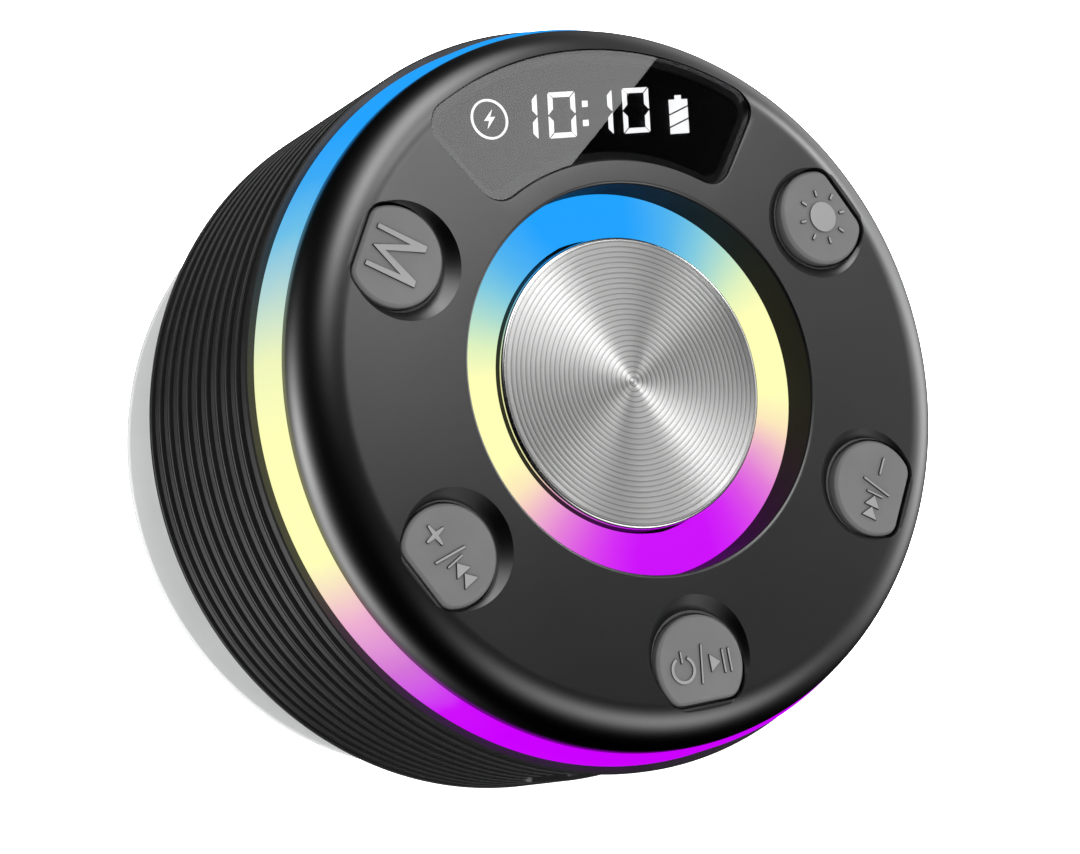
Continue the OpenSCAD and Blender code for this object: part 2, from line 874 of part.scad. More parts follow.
module suction_cup() {
    steps = 14;
    hub_top = 16.85;
    color([0.85, 0.86, 0.87]) on_wall() difference() {
        rotate_extrude() polygon(concat(
            [for (i = [0:steps]) let(r = cup_flat_r * i / steps) [r, hollow_z(r)]],
            [[cup_r - 0.2, 0], [cup_r, 0.2], [cup_r, 1.1]],
            [
                for (i = [steps:-1:0])
                    let(r = cup_hub_r + (cup_flat_r - cup_hub_r) * i / steps) [r, back_z(r)]
            ],
            [[cup_hub_r - 1, hub_top - 0.6], [cup_hub_r - 1.6, hub_top], [0, hub_top]]
        ));
        post(9.02, stud_head_z - 0.02, stud_head_z + 2.02);
        post(stud_r + 0.02, stud_head_z + 1, 20);
    }
}

// ---------------------------------------------------------------- nodes

front_bezel();
display_window();
display_block();
clock_digits();
charge_icon();
battery_icon();
key_mode();
key_light();
key_next();
key_power();
key_prev();
keypad_mat();
front_board();
key_switches();
light_ring();
ring_carrier();
ring_board();
ring_leds();
metal_disc();
disc_carrier();
speaker_cone();
coil_former();
voice_coil();
cone_surround();
spider();
driver_basket();
top_plate();
ring_magnet();
yoke();
driver_gasket();
driver_screws();
side_light_band();
side_led_strip();
side_leds();
front_seal();
main_housing();
rib_sleeve();
port_cover();
usb_socket();
usb_tongue();
main_board();
board_chips();
board_screws();
battery_cell();
battery_pads();
bezel_screws();
rear_cover();
rear_seal();
rear_screws();
cup_insert();
cup_stud();
suction_cup();
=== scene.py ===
"""Looks of the round shower speaker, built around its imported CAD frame.

Shapes are drawn in millimetres in the speaker's own axes (x right, y up, z out of the wall)
and stood up on the wall by WALL: z becomes -Y and y becomes +Z, in metres.
"""

import math

import bmesh
import bpy
from mathutils import Matrix, Vector


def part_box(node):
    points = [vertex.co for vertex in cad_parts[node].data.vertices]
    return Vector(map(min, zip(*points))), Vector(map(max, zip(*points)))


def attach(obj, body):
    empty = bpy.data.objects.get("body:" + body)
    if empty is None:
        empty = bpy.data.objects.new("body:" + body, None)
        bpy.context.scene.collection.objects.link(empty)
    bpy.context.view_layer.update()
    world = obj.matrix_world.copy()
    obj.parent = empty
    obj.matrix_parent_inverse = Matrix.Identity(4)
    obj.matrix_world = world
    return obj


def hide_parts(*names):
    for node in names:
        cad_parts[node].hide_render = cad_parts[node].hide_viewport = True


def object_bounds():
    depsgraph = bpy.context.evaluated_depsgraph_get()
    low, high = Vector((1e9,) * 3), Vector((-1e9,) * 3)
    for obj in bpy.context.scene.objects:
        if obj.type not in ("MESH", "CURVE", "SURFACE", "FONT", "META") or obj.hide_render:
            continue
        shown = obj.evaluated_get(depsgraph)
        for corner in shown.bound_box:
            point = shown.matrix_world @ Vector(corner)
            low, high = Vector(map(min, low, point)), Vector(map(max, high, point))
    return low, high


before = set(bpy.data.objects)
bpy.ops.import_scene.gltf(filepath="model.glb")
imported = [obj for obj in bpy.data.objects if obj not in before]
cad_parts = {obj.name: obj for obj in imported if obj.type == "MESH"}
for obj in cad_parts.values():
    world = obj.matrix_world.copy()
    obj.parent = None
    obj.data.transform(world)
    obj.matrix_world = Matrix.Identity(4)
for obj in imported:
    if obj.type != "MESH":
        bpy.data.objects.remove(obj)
cad_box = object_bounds()

MM = 0.001
WALL = Matrix(((MM, 0, 0, 0), (0, 0, -MM, 0), (0, MM, 0, 0), (0, 0, 0, 1)))


def front_of(node):
    """Height of a CAD node's front above the wall, in millimetres."""
    return -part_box(node)[0].y / MM


def rear_of(node):
    """Height of a CAD node's rear above the wall, in millimetres."""
    return -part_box(node)[1].y / MM


# ---------------------------------------------------------------- dimensions, mm
# _R is a radius, _Z a height above the wall, _T a thickness, _W a width and _D a depth

TURNS = 288
FACE_Z = front_of("front_bezel")
FACE_T = 2.0
BEZEL_R = 45.0
RIM_R = 5.6
RECESS_R = 24.1
RING_TOP_Z = front_of("light_ring")
RING_REAR_Z = rear_of("light_ring")
RING_Z = RING_REAR_Z + 1.4
RING_IN_R = 18.65
RING_OUT_R = 25.5
DISC_Z = front_of("metal_disc")
DISC_R = 18.2
DISC_GROOVES = 26
DISC_PITCH = (DISC_R - 1.2) / DISC_GROOVES
DISC_GROOVE_SHARE = 0.26
BAND_FRONT_Z = front_of("side_light_band")
BAND_REAR_Z = rear_of("side_light_band")
BAND_IN_R = 44.5
BAND_R = 45.7
BAND_FLARE = 0.6
SLEEVE_R = 47.6
SLEEVE_FRONT_R = 47.2
SLEEVE_IN_R = 44.25
SLEEVE_Z = rear_of("rib_sleeve")
SLEEVE_FRONT_Z = front_of("rib_sleeve")
GROOVE_COUNT = 10
GROOVE_PITCH = 3.2
GROOVE_FIRST_Z = 49.8
GROOVE_W = 1.3
GROOVE_D = 1.35
KEY_CLOCK = {"mode": -60, "light": 60, "next": 120, "power": 180, "prev": -120}
KEY_AT_R = 35.3
KEY_R = 6.1
KEY_FLAT = 4.45
KEY_CORNER_R = 2.0
KEY_GAP = 0.3
FLANGE_Z = 60.95
FLANGE_T = 0.9
FLANGE_TO_R = 40.5
BOWL_R = 6.4
BOWL_TILT = 6.0
SYMBOL_T = 0.2
WINDOW_Z = front_of("display_window")
WINDOW_REAR_Z = rear_of("display_window")
WINDOW_HALF = 35.8
WINDOW_IN_R = 27.2
WINDOW_OUT_R = 41.2
WINDOW_CORNER = 3.2
COVER_HALF = 10.6
COVER_HINGE_Z = 37.6
COVER_TOP_Z = front_of("port_cover")
REAR_Z = 18.4
REAR_R = 44.0
REAR_TOP_Z = 20.6
REAR_SCREW_R = 39.8
DIAGONALS = (45, 135, 225, 315)
CUP_R = 44.0
CUP_FLAT_R = 41.6
CUP_HUB_R = 13.0
CUP_HUB_Z = 16.85
CUP_HOLLOW = 7.5
STUD_R = 3.0
STUD_HEAD_R = 9.0
STUD_HEAD_Z = 8.6
STUD_HEAD_T = 2.0

# ---------------------------------------------------------------- drawing


def arc(x, y, r, a1, a2, n):
    """Points of an arc from angle a1 to a2, in degrees, in n steps."""
    angles = [math.radians(a1 + (a2 - a1) * i / n) for i in range(n + 1)]
    return [(x + r * math.cos(a), y + r * math.sin(a)) for a in angles]


def rounded(corners, steps=4):
    """An outline through (x, y, radius) corners, each filleted by its radius."""
    out = []
    for i, (x, y, r) in enumerate(corners):
        here = Vector((x, y))
        a = (Vector(corners[i - 1][:2]) - here).normalized()
        b = (Vector(corners[(i + 1) % len(corners)][:2]) - here).normalized()
        half = a.angle(b) / 2
        if r <= 0 or half > math.radians(89):
            out.append((x, y))
            continue
        centre = here + (a + b).normalized() * (r / math.sin(half))
        p = here + a * (r / math.tan(half)) - centre
        q = here + b * (r / math.tan(half)) - centre
        start = math.atan2(p.y, p.x)
        turn = math.atan2(p.x * q.y - p.y * q.x, p.dot(q))
        for k in range(steps + 1):
            t = start + turn * k / steps
            out.append((centre.x + r * math.cos(t), centre.y + r * math.sin(t)))
    return out


def lathe(bm, profile, turns=TURNS):
    """Turns a closed profile of (radius, z) points about the speaker's axis."""
    rings = []
    for r, z in profile:
        angles = [2 * math.pi * (i + 0.5) / turns for i in range(turns if r > 1e-6 else 1)]
        rings.append([bm.verts.new((r * math.cos(a), r * math.sin(a), z)) for a in angles])
    for a, b in zip(rings, rings[1:] + rings[:1]):
        if len(a) + len(b) == 2:
            continue
        for i in range(turns):
            j = (i + 1) % turns
            corners = [a[i % len(a)], a[j % len(a)], b[j % len(b)], b[i % len(b)]]
            bm.faces.new(list(dict.fromkeys(corners)))


def loft(bm, rings, material=0):
    """A closed skin through rings of equally many points, capped at both ends. Returns the last cap."""
    loops = [[bm.verts.new(p) for p in ring] for ring in rings]
    n = len(loops[0])
    made = [bm.faces.new(loops[0]), bm.faces.new(loops[-1])]
    for a, b in zip(loops, loops[1:]):
        made += [bm.faces.new([a[i], a[(i + 1) % n], b[(i + 1) % n], b[i]]) for i in range(n)]
    for face in made:
        face.material_index = material
    return made[1]


def stack(bm, outline, levels):
    """A loft of one outline at (height, growth) levels."""
    loft(bm, [[(x, y, z) for x, y in outline(grow)] for z, grow in levels])


def circles(bm, levels, steps):
    """A loft of circles at (height, radius) levels."""
    turn = 360 - 360 / steps
    loft(bm, [[(x, y, z) for x, y in arc(0, 0, r, 0, turn, steps - 1)] for z, r in levels])


def slab(bm, points, z1, z2, bevel, material, side_material):
    """An upright slab of a closed outline with its front edge bevelled."""
    top = loft(bm, [[(x, y, z1) for x, y in points], [(x, y, z2) for x, y in points]], side_material)
    top.material_index = material
    edges = list(top.edges)
    bmesh.ops.bevel(
        bm, geom=edges, offset=bevel, segments=2, profile=0.5, affect="EDGES", material=side_material
    )


def at_clock(angle, r=0.0):
    """Places a drawing at a clock angle with +y pointing away from the axis."""
    return Matrix.Rotation(math.radians(-angle), 4, "Z") @ Matrix.Translation((0, r, 0))


def drawn(matrix, draw, bm):
    """Runs draw(bm) and moves what it drew by matrix."""
    before = set(bm.verts)
    draw(bm)
    bmesh.ops.transform(bm, matrix=matrix, verts=[v for v in bm.verts if v not in before])


def as_object(name, bm, sharp=32):
    """Stands a drawing on the wall as a smooth-shaded object."""
    bmesh.ops.recalc_face_normals(bm, faces=bm.faces)
    bm.transform(WALL)
    mesh = bpy.data.meshes.new(name)
    bm.to_mesh(mesh)
    bm.free()
    obj = bpy.data.objects.new(name, mesh)
    bpy.context.scene.collection.objects.link(obj)
    shade(obj, sharp)
    return obj


def shade(obj, sharp=32):
    """Smooth shading that keeps creases sharper than an angle."""
    obj.data.shade_smooth()
    obj.data.set_sharp_from_angle(angle=math.radians(sharp))


def boolean(obj, tool, operation="DIFFERENCE"):
    """Cuts obj with tool or joins them, and removes the tool."""
    modifier = obj.modifiers.new("boolean", "BOOLEAN")
    modifier.operation = operation
    modifier.solver = "EXACT"
    modifier.object = tool
    graph = bpy.context.evaluated_depsgraph_get()
    mesh = bpy.data.meshes.new_from_object(obj.evaluated_get(graph))
    obj.modifiers.clear()
    obj.data = mesh
    bpy.data.objects.remove(tool)


def even_normals(obj, sharp=32):
    """Keeps flats flat next to narrow curved faces."""
    shade(obj, sharp)
    modifier = obj.modifiers.new("normals", "WEIGHTED_NORMAL")
    modifier.keep_sharp = True
    modifier.weight = 60


def as_piece(obj, body, slot, materials, *nodes):
    """Gives a piece its materials and its body, and hides the CAD nodes that it stands for."""
    for material in materials:
        obj.data.materials.append(material)
    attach(obj, body)
    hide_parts(*nodes)


# ---------------------------------------------------------------- outlines


def key_outline(grow=0.0):
    """A key's outline: a circle whose side away from the axis is cut flat, with rounded corners."""
    reach = KEY_R - KEY_CORNER_R
    corner_y = KEY_FLAT - KEY_CORNER_R
    turn = math.degrees(math.asin(corner_y / reach))
    corner_x = reach * math.cos(math.radians(turn))
    corner = KEY_CORNER_R + grow
    points = arc(0, 0, KEY_R + grow, 180 - turn, 360 + turn, 96)
    points += arc(corner_x, corner_y, corner, turn, 90, 10)[1:]
    return points + arc(-corner_x, corner_y, corner, 90, 180 - turn, 10)[:-1]


def flange_outline(grow=0.0):
    """The key's flange, cut straight where the bezel's rim begins."""
    return [(x, min(y, FLANGE_TO_R - KEY_AT_R)) for x, y in key_outline(grow)]


def window_outline(grow=0.0):
    """A sector of a ring with rounded corners."""
    inner = WINDOW_IN_R + WINDOW_CORNER
    outer = WINDOW_OUT_R - WINDOW_CORNER
    c = WINDOW_CORNER + grow
    # clock angles of the corners' centres, which lie one corner radius from the side line
    a1 = WINDOW_HALF - math.degrees(math.asin(WINDOW_CORNER / inner))
    a2 = WINDOW_HALF - math.degrees(math.asin(WINDOW_CORNER / outer))
    right = arc(0, 0, outer + c, 90, 90 - a2, 24)
    x, y = arc(0, 0, outer, 90 - a2, 0, 1)[0]
    right += arc(x, y, c, 90 - a2, -WINDOW_HALF, 10)[1:]
    x, y = arc(0, 0, inner, 90 - a1, 0, 1)[0]
    right += arc(x, y, c, -WINDOW_HALF, -90 - a1, 10)
    right += arc(0, 0, inner - c, 90 - a1, 90, 16)[1:]
    return right + [(-x, y) for x, y in reversed(right[1:-1])]


def bar(p, q, w):
    """A straight stroke with rounded ends."""
    p, q = Vector(p), Vector(q)
    side = (q - p).orthogonal().normalized() * (w / 2)
    corners = [p - side, q - side, q + side, p + side]
    return rounded([(c.x, c.y, w * 0.42) for c in corners])


# ---------------------------------------------------------------- symbols


def mode_symbol():
    """Two legs and a vee that reaches down to the line they stand on."""
    w = 0.7
    h = 3.35
    x = 2.75
    half = [(x - w, h - 1.7), (x - w, -h), (x, -h), (x, h), (x - 0.9, h)]
    left = [(-px, py) for px, py in reversed(half)]
    points = [(0, -h)] + half + [(0, -h + 1.65)] + left
    return [rounded([(px, py, 0.1) for px, py in points], 2)]


def light_symbol():
    """A sun: a disc and eight rays."""
    rays = []
    for i in range(8):
        a = math.radians(22.5 + i * 45)
        along = Vector((math.cos(a), math.sin(a)))
        rays.append(bar(along * 2.65, along * 3.6, 0.42))
    return [arc(0, 0, 1.95, 0, 355, 71)] + rays


def open_ring(x, y, r, w, gap):
    """A ring with a gap of so many degrees at its top."""
    outer = arc(x, y, r, 90 + gap / 2, 450 - gap / 2, 40)
    inner = arc(x, y, r - w, 450 - gap / 2, 90 + gap / 2, 40)
    return outer + inner


def power_symbol():
    """Power, a slanting line, play and pause."""
    w = 0.36
    play = rounded([(1.15, -1.2, 0.1), (1.15, 1.2, 0.1), (2.75, 0, 0.1)])
    pause = [bar((x, -1.5), (x, 1.5), w) for x in (3.15, 4.05)]
    ring = open_ring(-2.7, -0.2, 1.7, w, 54)
    return [ring, bar((-2.7, 0.5), (-2.7, 2.1), w), bar((-0.35, -2.3), (0.35, 2.5), w), play] + pause


def skip_symbol(x, direction):
    """Two triangles and a bar pointing right for 1 or left for -1."""
    shapes = []
    for step in (0, 1.5):
        corners = [(step, -1.25, 0.08), (step, 1.25, 0.08), (step + 1.6, 0, 0.08)]
        shapes.append(rounded(corners))
    shapes.append(bar((3.25, -1.3), (3.25, 1.3), 0.36))
    return [[(x + direction * px, py) for px, py in shape] for shape in shapes]


def cross(x, half, w):
    """A plus sign as one outline."""
    h = w / 2
    quarter = [(half, -h, 0.1), (half, h, 0.1), (h, h, 0.0)]
    corners = []
    for i in range(4):
        turn = Matrix.Rotation(math.pi / 2 * i, 2)
        for px, py, r in quarter:
            p = turn @ Vector((px, py))
            corners.append((x + p.x, p.y, r))
    return rounded(corners)


def prev_symbol():
    """Plus, a slanting line and skip backwards."""
    return [cross(-3, 1.45, 0.4), bar((-0.55, -2.2), (0.35, 2.2), 0.4)] + skip_symbol(4.1, -1)


def next_symbol():
    """Skip forwards, a slanting line and minus."""
    return [bar((-0.3, -2.2), (0.6, 2.2), 0.4), bar((1.75, 0), (4.2, 0), 0.4)] + skip_symbol(-4.1, 1)


SYMBOLS = {
    "mode": mode_symbol,
    "light": light_symbol,
    "next": next_symbol,
    "power": power_symbol,
    "prev": prev_symbol,
}

# ---------------------------------------------------------------- materials


def new_material(name, **settings):
    """A material whose Principled shader has these constant settings."""
    material = bpy.data.materials.new(name)
    material.use_nodes = True
    shader = material.node_tree.nodes["Principled BSDF"]
    for key, value in settings.items():
        shader.inputs[key.replace("_", " ")].default_value = value
    return material


def add(material, kind, settings=None, **links):
    """Adds a node; links give inputs by name, or by index after an underscore."""
    tree = material.node_tree
    made = tree.nodes.new("ShaderNode" + kind)
    for key, value in (settings or {}).items():
        setattr(made, key, value)
    for key, value in links.items():
        socket = made.inputs[int(key[1:])] if key[0] == "_" else made.inputs[key.replace("__", " ")]
        if isinstance(value, bpy.types.NodeSocket):
            tree.links.new(value, socket)
        else:
            socket.default_value = value
    return made


def math_node(material, operation, a, b=0.0):
    """A sum, product or other operation on values or constants."""
    return add(material, "Math", {"operation": operation}, _0=a, _1=b).outputs[0]


def coordinates(material):
    """Coordinates in the piece's own frame, in metres."""
    return add(material, "TexCoord").outputs["Object"]


def noise(material, size_mm, detail=3.0, stretch=None):
    """Cloudy value from 0 to 1 whose grains are about size_mm across."""
    where = coordinates(material)
    if stretch:
        where = add(material, "Mapping", _0=where, _3=stretch).outputs[0]
    return add(material, "TexNoise", Vector=where, Scale=1 / (size_mm * MM), Detail=detail).outputs["Fac"]


def between(material, value, low, high, low_in=0.3, high_in=0.7):
    """Maps a value's range from low_in to high_in to the range from low to high."""
    return add(material, "MapRange", _0=value, _1=low_in, _2=high_in, _3=low, _4=high).outputs[0]


def srgb(r, g, b):
    """Linear colour of an 8-bit display colour."""
    def one(v):
        v /= 255
        return v / 12.92 if v <= 0.04045 else ((v + 0.055) / 1.055) ** 2.4
    return (one(r), one(g), one(b), 1.0)


def grey(value, tint=(1.0, 1.0, 1.0)):
    """A grey, perhaps slightly tinted."""
    return (value * tint[0], value * tint[1], value * tint[2], 1.0)


def ramp(material, value, stops):
    """Colour over a value, through (position, colour) stops."""
    made = add(material, "ValToRGB", _0=value)
    band = made.color_ramp
    band.elements[0].position, band.elements[0].color = stops[0]
    band.elements[1].position, band.elements[1].color = stops[-1]
    for position, colour in stops[1:-1]:
        band.elements.new(position).color = colour
    return made.outputs[0]


def to_shader(material, name, value):
    """Links a value to the shader."""
    shader = material.node_tree.nodes["Principled BSDF"]
    material.node_tree.links.new(value, shader.inputs[name])


def bump(material, height, depth_mm, strength=1.0):
    """Raises the surface by height times depth_mm."""
    made = add(material, "Bump", Height=height, Distance=depth_mm * MM, Strength=strength)
    to_shader(material, "Normal", made.outputs[0])


def worn(material, colour, low, high, size_mm=9.0):
    """Colour that drifts between two brightnesses in soft clouds with finer grain in them."""
    clouds = noise(material, size_mm, 4.0)
    dark = (colour[0] * low, colour[1] * low, colour[2] * low, 1.0)
    light = (colour[0] * high, colour[1] * high, colour[2] * high, 1.0)
    share = between(material, clouds, 0.0, 1.0)
    to_shader(material, "Base Color", ramp(material, share, [(0.0, dark), (1.0, light)]))


def from_axis(material):
    """X, Z and the distance from the speaker's axis."""
    split = add(material, "SeparateXYZ", _0=coordinates(material))
    x, z = split.outputs[0], split.outputs[2]
    squares = [math_node(material, "MULTIPLY", v, v) for v in (x, z)]
    return x, z, math_node(material, "SQRT", math_node(material, "ADD", *squares))


def moulded(name, colour, roughness, grain_mm=0.25, depth_mm=0.008, **settings):
    """Moulded plastic or rubber: fine grain, slight drift in shade and gloss."""
    material = new_material(name, **settings)
    worn(material, colour, 0.92, 1.08)
    fine = noise(material, grain_mm, 2.0)
    gloss = between(material, noise(material, 5.0, 5.0), roughness - 0.05, roughness + 0.05)
    to_shader(material, "Roughness", gloss)
    bump(material, fine, depth_mm)
    return material


def metal(name, colour, roughness, grain_mm=0.4, stretch=(1, 1, 1), depth_mm=0.004, **settings):
    """Plain machined or plated metal with fine tool marks."""
    material = new_material(name, Metallic=1.0, **settings)
    worn(material, colour, 0.94, 1.05, 4.0)
    marks = noise(material, grain_mm, 3.0, stretch)
    to_shader(material, "Roughness", between(material, marks, roughness - 0.06, roughness + 0.06))
    bump(material, marks, depth_mm)
    return material


def bezel_material():
    """Satin gunmetal lacquer with a very fine flake and faint orange peel."""
    material = new_material("bezel_lacquer", Metallic=1.0)
    worn(material, grey(0.13, (1.0, 1.0, 1.01)), 0.96, 1.04, 14.0)
    flake = noise(material, 0.12, 2.0)
    peel = noise(material, 1.1, 2.0)
    to_shader(material, "Roughness", between(material, flake, 0.28, 0.32))
    height = math_node(material, "ADD", math_node(material, "MULTIPLY", flake, 0.3), peel)
    bump(material, height, 0.0025)
    return material


def key_material():
    """Grey rubber of the key caps."""
    return moulded("key_rubber", grey(0.13), 0.55, 0.18, 0.006)


def symbol_material():
    """Lighter grey on top of the raised symbols."""
    return moulded("symbol_paint", grey(0.25), 0.5, 0.15, 0.005)


# the lights' colours over height, from -1 at the bottom to 1 at the top of a line leaning by this clock angle
GRADIENT_CLOCK = -6.0
BLUE = srgb(34, 163, 255)
YELLOW = srgb(255, 255, 185)
RING_STOPS = [
    (-0.97, srgb(206, 19, 251)),
    (-0.91, srgb(213, 45, 245)),
    (-0.83, srgb(220, 80, 232)),
    (-0.72, srgb(229, 126, 219)),
    (-0.59, srgb(239, 179, 204)),
    (-0.44, srgb(253, 232, 189)),
    (-0.28, YELLOW),
    (0.24, YELLOW),
    (0.41, srgb(224, 243, 191)),
    (0.56, srgb(178, 223, 206)),
    (0.70, srgb(128, 203, 225)),
    (0.81, srgb(88, 184, 238)),
    (0.96, BLUE),
]
BAND_STOPS = [
    (-0.80, srgb(204, 0, 255)),
    (-0.69, srgb(207, 15, 250)),
    (-0.56, srgb(212, 115, 217)),
    (-0.41, srgb(238, 175, 210)),
    (-0.24, YELLOW),
    (0.10, YELLOW),
    (0.28, srgb(240, 247, 189)),
    (0.44, srgb(185, 218, 212)),
    (0.59, srgb(110, 194, 233)),
    (0.72, srgb(60, 171, 247)),
    (0.83, BLUE),
]


def light_material(name, stops, lit_from=0.0):
    """A diffuser lit beyond a radius, its colour running from blue over yellow to magenta."""
    unlit = {"Base_Color": grey(0.0), "Specular_IOR_Level": 0.02}
    material = new_material(name, Roughness=0.5, Emission_Strength=1.0, **unlit)
    x, z, reach = from_axis(material)
    lean = math.radians(GRADIENT_CLOCK)
    along = math_node(
        material,
        "ADD",
        math_node(material, "MULTIPLY", x, math.sin(lean)),
        math_node(material, "MULTIPLY", z, math.cos(lean)),
    )
    height = math_node(material, "DIVIDE", along, reach)
    drift = math_node(material, "SUBTRACT", noise(material, 3.0, 2.0), 0.5)
    height = math_node(material, "ADD", height, math_node(material, "MULTIPLY", drift, 0.02))
    half = add(material, "Math", {"operation": "MULTIPLY_ADD"}, _0=height, _1=0.5, _2=0.5).outputs[0]
    colour = ramp(material, half, [((s + 1) / 2, c) for s, c in stops])
    lit = math_node(material, "GREATER_THAN", reach, lit_from * MM)
    lit_colour = add(material, "VectorMath", {"operation": "SCALE"}, _0=colour, Scale=lit)
    to_shader(material, "Emission Color", lit_colour.outputs[0])
    milky = math_node(material, "MULTIPLY", noise(material, 0.5, 2.0), 0.5)
    bump(material, milky, 0.004)
    return material


def lit_material(name, colour, strength):
    """A small lit shape with the slight unevenness of a diffuser."""
    material = new_material(name, Roughness=0.5, Emission_Strength=strength)
    uneven = between(material, noise(material, 1.5, 2.0), 0.0, 1.0)
    dim = tuple(0.9 * c for c in colour[:3]) + (1.0,)
    to_shader(material, "Emission Color", ramp(material, uneven, [(0.0, dim), (1.0, colour)]))
    return material


def disc_material():
    """Turned aluminium: concentric tool marks stretch every highlight into a radial streak; the grooves'
    rings carry painted shade.
    """
    material = new_material("turned_aluminium", Metallic=1.0, Anisotropic=1.0, Anisotropic_Rotation=0.25)
    reach = from_axis(material)[2]
    marks = add(material, "TexNoise", {"noise_dimensions": "1D"}, W=reach, Scale=9000.0, Detail=3.0)
    marks = marks.outputs["Fac"]
    shade_of = [(0.0, grey(0.8)), (1.0, grey(0.97, (1.0, 0.99, 0.985)))]
    turned = ramp(material, between(material, marks, 0.0, 1.0), shade_of)
    # painted shade: the base colour is 38% darker on the ring of each groove
    across = math_node(material, "FRACT", math_node(material, "DIVIDE", reach, DISC_PITCH * MM))
    groove_shade_mask = math_node(material, "GREATER_THAN", across, 1 - DISC_GROOVE_SHARE)
    depth = math_node(material, "SUBTRACT", 1.0, math_node(material, "MULTIPLY", groove_shade_mask, 0.38))
    turned = add(material, "VectorMath", {"operation": "SCALE"}, _0=turned, Scale=depth)
    to_shader(material, "Base Color", turned.outputs[0])
    to_shader(material, "Roughness", between(material, marks, 0.31, 0.39))
    tangent = add(material, "Tangent", {"direction_type": "RADIAL", "axis": "Y"})
    to_shader(material, "Tangent", tangent.outputs[0])
    bump(material, marks, 0.002)
    return material


def sleeve_material():
    """Soft black rubber with a faint sheen."""
    return moulded("sleeve_rubber", grey(0.014), 0.34, 0.3, 0.005, Specular_IOR_Level=0.7)


def glass_material():
    """Dark tinted window."""
    tint = grey(0.3, (0.98, 0.98, 1.0))
    material = new_material("smoked_window", Transmission_Weight=1.0, IOR=1.6, Roughness=0.0)
    worn(material, tint, 0.98, 1.02)
    return material


def cup_material():
    """Frosted milky silicone with a cloudy gloss and a slightly uneven skin."""
    material = new_material("clear_silicone", Transmission_Weight=0.25, IOR=1.41, Coat_Weight=0.2)
    worn(material, grey(0.88, (0.99, 1.0, 1.0)), 0.97, 1.03, 12.0)
    to_shader(material, "Roughness", between(material, noise(material, 4.0, 4.0), 0.28, 0.42))
    bump(material, noise(material, 0.6, 3.0), 0.01)
    return material


def shaded_cup_face_material():
    """Underside of the cup: a darker copy of the silicone, painted shade, darkest towards the centre where
    the dark rear cover and the hub show through it.
    """
    material = new_material("shaded_cup_face", Transmission_Weight=0.25, IOR=1.41, Coat_Weight=0.3)
    across = math_node(material, "DIVIDE", from_axis(material)[2], CUP_R * MM)
    # grey rising from 0.24 at the centre to 0.8 at the rim, darker than the cup's 0.88: painted shade on the
    # underside
    shades = [(0.0, grey(0.24)), (0.24, grey(0.28)), (0.3, grey(0.46)), (0.9, grey(0.56)), (1.0, grey(0.8))]
    to_shader(material, "Base Color", ramp(material, across, shades))
    to_shader(material, "Roughness", between(material, noise(material, 8.0, 2.0), 0.28, 0.36))
    bump(material, noise(material, 1.2, 2.0), 0.002)
    return material


def board_material(name, colour):
    """Circuit board: solder mask with tracks showing as faint squares."""
    material = new_material(name, Roughness=0.35, Coat_Weight=0.3)
    where = add(material, "Mapping", _0=coordinates(material), _3=(1000 / 1.6,) * 3).outputs[0]
    cells = add(material, "TexVoronoi", {"distance": "CHEBYCHEV"}, Vector=where, Scale=1.0)
    tracks = between(material, cells.outputs["Distance"], 0.0, 1.0, 0.35, 0.45)
    lighter = tuple(min(1.0, 1.5 * c + 0.02) for c in colour[:3]) + (1.0,)
    to_shader(material, "Base Color", ramp(material, tracks, [(0.0, colour), (1.0, lighter)]))
    bump(material, tracks, 0.02)
    return material


def cloth_material(name, colour, size_mm):
    """Woven or felted sheet."""
    material = new_material(name, Roughness=0.85, Sheen_Weight=0.2)
    fibres = noise(material, size_mm, 5.0, (1, 1, 4))
    dark = tuple(0.7 * c for c in colour[:3]) + (1.0,)
    to_shader(material, "Base Color", ramp(material, fibres, [(0.3, dark), (0.7, colour)]))
    bump(material, fibres, 0.06)
    return material


def wound_material():
    """Enamelled copper wire in turns, with painted shade between the turns."""
    material = new_material("copper_wire", Metallic=1.0, Roughness=0.3)
    depth = add(material, "SeparateXYZ", _0=coordinates(material)).outputs[1]
    wire = 0.3 * MM
    turns = math_node(material, "SINE", math_node(material, "MULTIPLY", depth, 2 * math.pi / wire))
    # the colour runs dark where the bump dips between turns: painted shade
    stops = [(0.2, (0.30, 0.09, 0.03, 1.0)), (0.8, (0.80, 0.33, 0.15, 1.0))]
    to_shader(material, "Base Color", ramp(material, between(material, turns, 0, 1, -1, 1), stops))
    bump(material, turns, 0.05)
    return material


# ---------------------------------------------------------------- visible pieces


